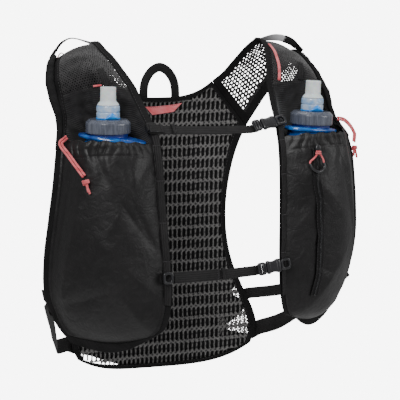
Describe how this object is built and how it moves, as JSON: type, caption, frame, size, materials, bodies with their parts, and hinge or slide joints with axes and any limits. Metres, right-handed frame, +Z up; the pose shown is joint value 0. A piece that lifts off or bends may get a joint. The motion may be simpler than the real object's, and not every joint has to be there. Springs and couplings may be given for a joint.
{
  "type": "running hydration vest",
  "caption": "Running vest with a knitted net back, two chest pockets with soft flasks, chest straps and side straps, held open as worn.",
  "frame": {"origin": "the shoulder seat, midway between the tops of the two shoulders", "axes": "+Z up, the wearer faces -Y, +X is the wearer's left"},
  "size_m": [0.3581, 0.2078, 0.3964],
  "materials": {
    "spacer_net": "matt",
    "fine_mesh": "matt",
    "stretch_cloth": "matt",
    "coated_nylon": "satin",
    "woven_tape": "matt",
    "webbing": "matt",
    "zip_tape": "satin",
    "flask_film": "gloss",
    "cap_plastic": "gloss",
    "collar_plastic": "gloss",
    "silicone": "satin",
    "acetal": "satin",
    "reflective_ribbon": "satin",
    "label_cloth": "matt",
    "coral_cord": "matt"
  },
  "bodies": {
    "root": {"back_binding": "woven_tape", "back_net": "spacer_net", "haul_loop": "webbing", "left_arm_binding": "woven_tape", "left_cap": "cap_plastic", "left_drawcord_a": "coral_cord", "left_drawcord_b": "coral_cord", "left_drawcord_knot": "coral_cord", "left_flask": "flask_film", "left_front": "stretch_cloth", "left_neck_binding": "woven_tape", "left_pocket": "coated_nylon", "left_pocket_binding": "woven_tape", "left_rail": "webbing", "left_shoulder": "fine_mesh", "left_shoulder_cord": "coral_cord", "left_shoulder_loop": "reflective_ribbon", "left_side_strap_lower": "webbing", "left_side_strap_upper": "webbing", "left_valve_tab": "webbing", "left_zip_cord_a": "coral_cord", "left_zip_cord_b": "coral_cord", "left_zip_grip": "acetal", "left_zip_slider": "acetal", "left_zip_tape": "zip_tape", "lower_buckle_prong": "acetal", "lower_buckle_socket": "acetal", "lower_fork": "acetal", "lower_strap": "webbing", "lower_strap_fork": "webbing", "neck_label": "label_cloth", "rear_panel": "stretch_cloth", "right_arm_binding": "woven_tape", "right_cap": "cap_plastic", "right_drawcord_a": "coral_cord", "right_drawcord_b": "coral_cord", "right_drawcord_knot": "coral_cord", "right_flask": "flask_film", "right_front": "stretch_cloth", "right_neck_binding": "woven_tape", "right_pocket": "coated_nylon", "right_pocket_binding": "woven_tape", "right_rail": "webbing", "right_shoulder": "fine_mesh", "right_shoulder_loop": "reflective_ribbon", "right_side_strap_lower": "webbing", "right_side_strap_upper": "webbing", "right_valve_tab": "webbing", "upper_buckle_prong": "acetal", "upper_buckle_socket": "acetal", "upper_fork": "acetal", "upper_strap": "webbing"},
    "left_valve": {"left_valve_collar": "collar_plastic", "left_bite_valve": "silicone"},
    "right_valve": {"right_valve_collar": "collar_plastic", "right_bite_valve": "silicone"}
  },
  "joints": [
    {"name": "left_valve_turn", "type": "hinge", "parent": "root", "child": "left_valve", "pos_m": [0.11659, -0.0935, -0.0747], "axis": [0.0523, 0, 0.9986], "range_deg": [0, 90]},
    {"name": "right_valve_turn", "type": "hinge", "parent": "root", "child": "right_valve", "pos_m": [-0.11647, -0.0935, -0.0747], "axis": [0.014, 0, 0.9999], "range_deg": [0, 90]}
  ]
}
